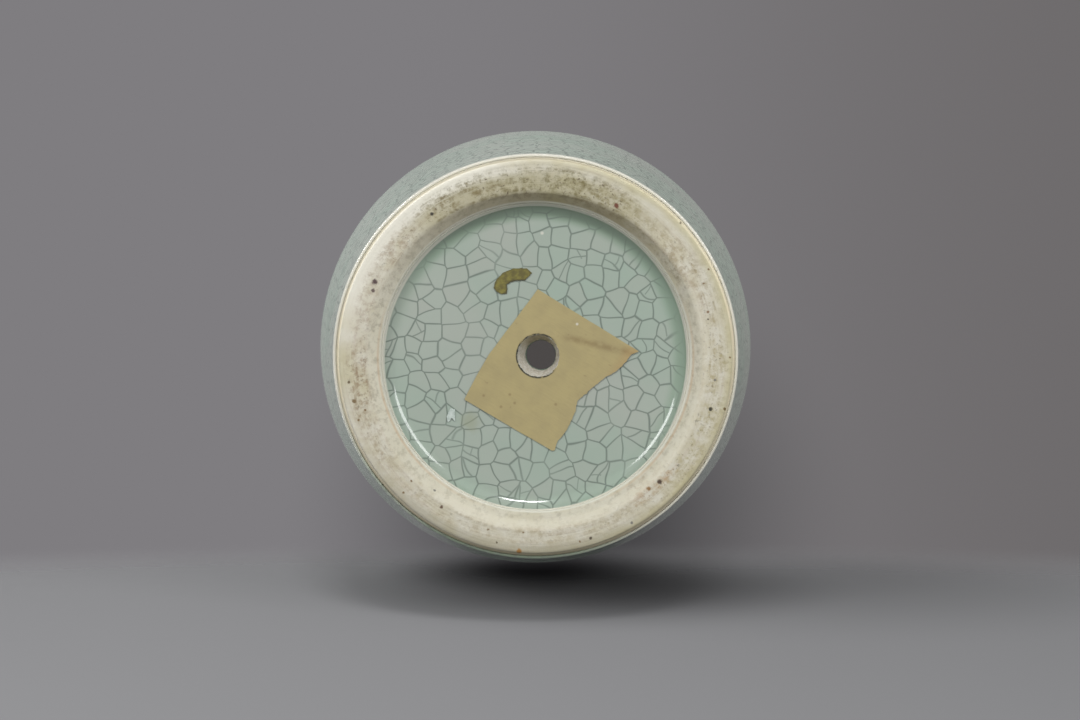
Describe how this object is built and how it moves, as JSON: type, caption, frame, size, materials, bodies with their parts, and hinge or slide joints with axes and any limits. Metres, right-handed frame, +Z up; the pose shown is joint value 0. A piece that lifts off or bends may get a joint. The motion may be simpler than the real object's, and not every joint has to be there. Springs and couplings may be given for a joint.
{
  "type": "ovoid vase",
  "caption": "Ovoid vase with a crackled celadon glaze, a broad bare foot ring, a flared lip and a hole drilled through its base under a torn patch of tape.",
  "frame": {"origin": "middle of the foot ring's resting face", "axes": "+Z up the vase's axis, from the foot to the mouth; the torn end of the tape under the base points towards +X"},
  "size_m": [0.208, 0.208, 0.365],
  "materials": {
    "clay": "bare fired stoneware, turned, stained by kiln grit",
    "slip": "fired luting slip",
    "celadon": "glossy grey-green crackled glaze",
    "tape": "aged tan paper tape",
    "label": "browned label paper soaked with glue",
    "fleck": "white paper"
  },
  "bodies": {
    "root": {"foot_ring": "clay", "base_disc": "clay", "lower_body": "clay", "upper_body": "clay", "neck": "clay", "base_slip": "slip", "foot_slip": "slip", "belly_slip": "slip", "neck_slip": "slip", "outer_glaze": "celadon", "inner_glaze": "celadon", "base_glaze": "celadon", "tape_patch": "tape", "label_remnant": "label", "paper_fleck": "fleck"}
  },
  "joints": []
}
